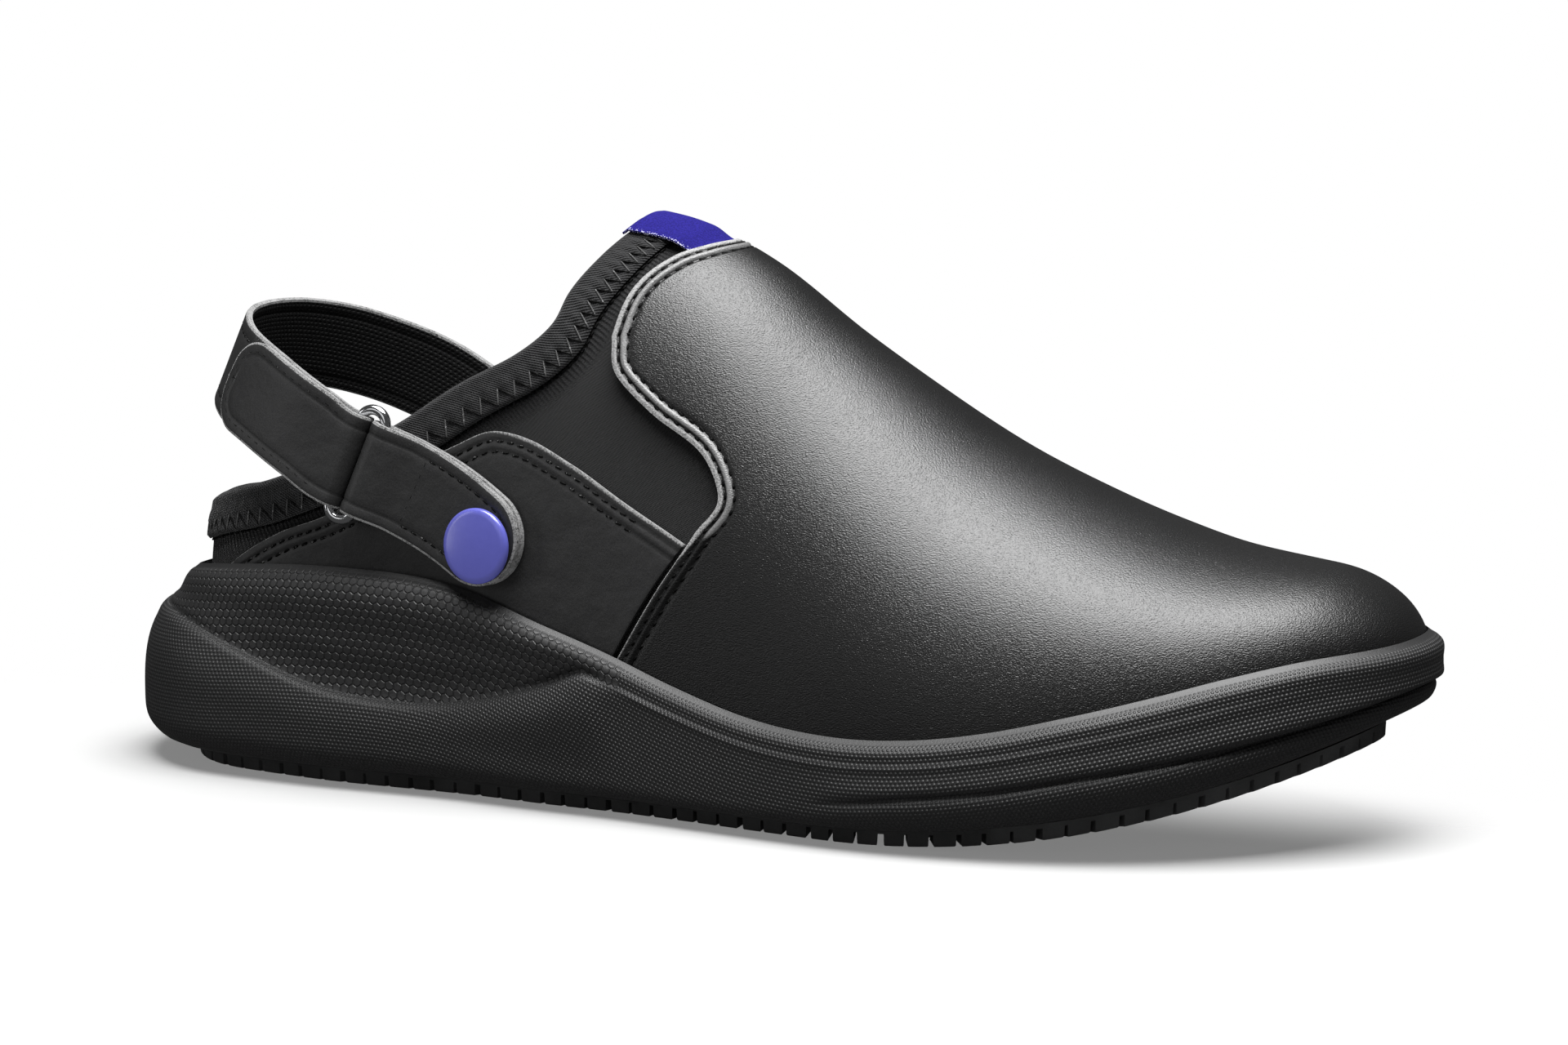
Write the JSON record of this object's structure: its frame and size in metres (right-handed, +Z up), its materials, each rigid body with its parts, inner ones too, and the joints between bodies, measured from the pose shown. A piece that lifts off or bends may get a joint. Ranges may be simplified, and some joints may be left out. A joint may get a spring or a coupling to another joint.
{
  "type": "chef clog",
  "caption": "Slip-on work clog for the right foot, with a thick moulded sole, leather front, stretch collar and a ringed heel strap.",
  "frame": {"origin": "on the floor, under the middle of the sole's plan box", "axes": "+X to the toe, +Y to the inner side of the foot, +Z up"},
  "size_m": [0.304, 0.1088, 0.1279],
  "materials": {
    "outsole_rubber": "matte dark grey tread rubber",
    "midsole_foam": "matte black moulded foam with a dimpled skin",
    "stretch_fabric": "fine black twill stretch fabric",
    "vamp_leather": "pebbled black leather, satin",
    "strap_leather": "smooth black leather, satin",
    "ring_chrome": "polished",
    "button_blue": "glossy domed blue",
    "label_blue": "woven deep blue ribbon"
  },
  "bodies": {
    "root": {"outsole": "outsole_rubber", "midsole": "midsole_foam", "insole": "stretch_fabric", "upper": "stretch_fabric", "vamp": "vamp_leather", "quarter": "strap_leather", "collar_binding": "stretch_fabric", "strap_anchor": "strap_leather", "heel_strap": "strap_leather", "strap_ring": "ring_chrome", "button_outer": "button_blue", "button_inner": "button_blue", "throat_label": "label_blue"}
  },
  "joints": []
}
